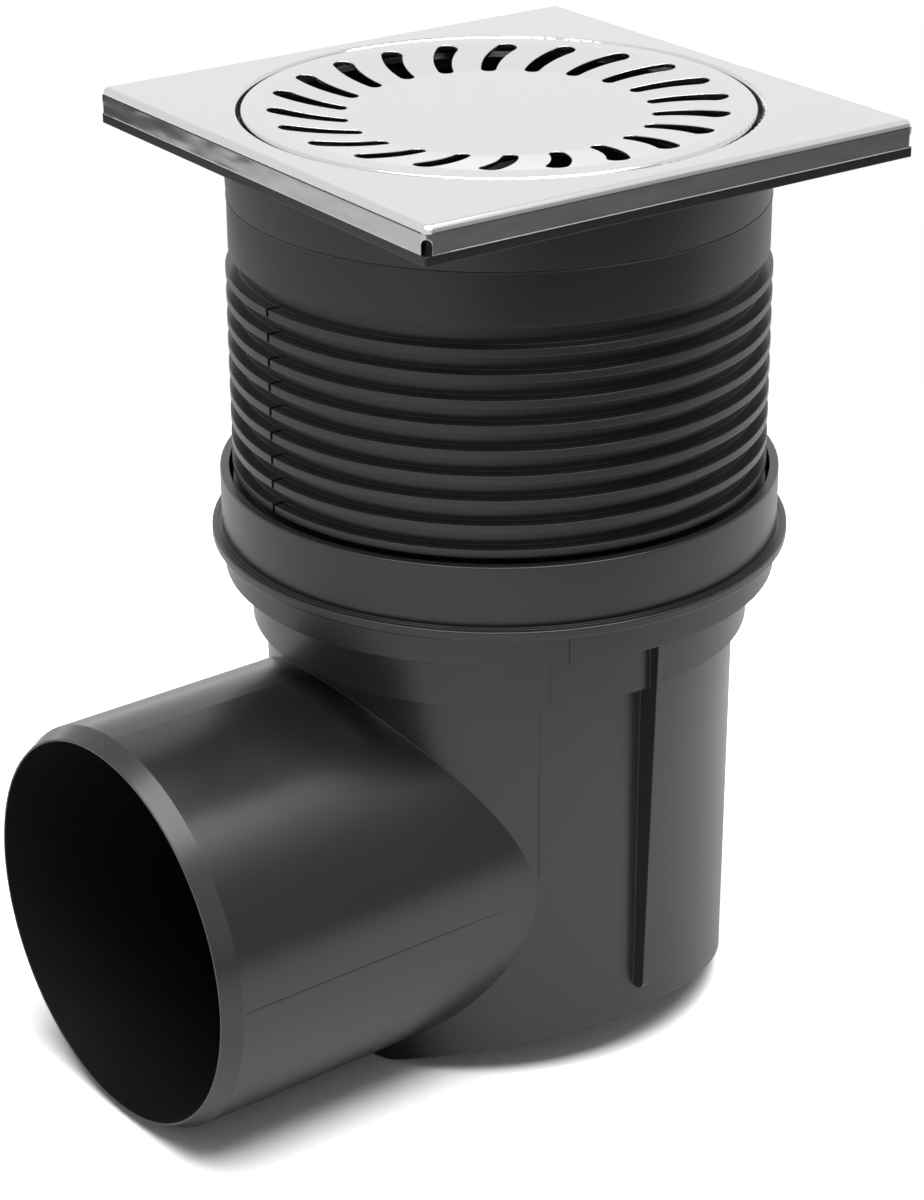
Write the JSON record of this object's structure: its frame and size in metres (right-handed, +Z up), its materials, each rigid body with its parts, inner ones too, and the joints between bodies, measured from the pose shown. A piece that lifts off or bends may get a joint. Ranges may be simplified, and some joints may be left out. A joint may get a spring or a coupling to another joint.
{
  "type": "floor drain",
  "caption": "Side-outlet floor drain with a ribbed height sleeve, a square steel frame, a round slotted grate and a lift-out bell trap.",
  "frame": {"origin": "on the drain's upright axis, at the floor that the bowl's flat strip stands on", "axes": "+Z up along the drain's axis, -X along the spigot towards its mouth"},
  "size_m": [0.2083, 0.1566, 0.2537],
  "materials": {
    "moulded_plastic": "black polypropylene, satin from the mould",
    "seal_rubber": "matte black",
    "stainless_sheet": "satin stainless sheet"
  },
  "bodies": {
    "bowl": {"trap_body": "moulded_plastic"},
    "seal": {"riser_seal": "seal_rubber"},
    "riser": {"riser_sleeve": "moulded_plastic", "frame_plate": "stainless_sheet", "grate": "stainless_sheet", "trap_pot": "moulded_plastic", "pot_gasket": "seal_rubber", "trap_bell": "moulded_plastic"}
  },
  "joints": [
    {"name": "riser_height", "type": "slide", "parent": "bowl", "child": "seal", "axis": [0, 0, 1], "range_m": [0, 0.012]},
    {"name": "riser_turn", "type": "hinge", "parent": "seal", "child": "riser", "pos_m": [0, 0, 0.1419], "axis": [0, 0, 1], "continuous": true}
  ]
}
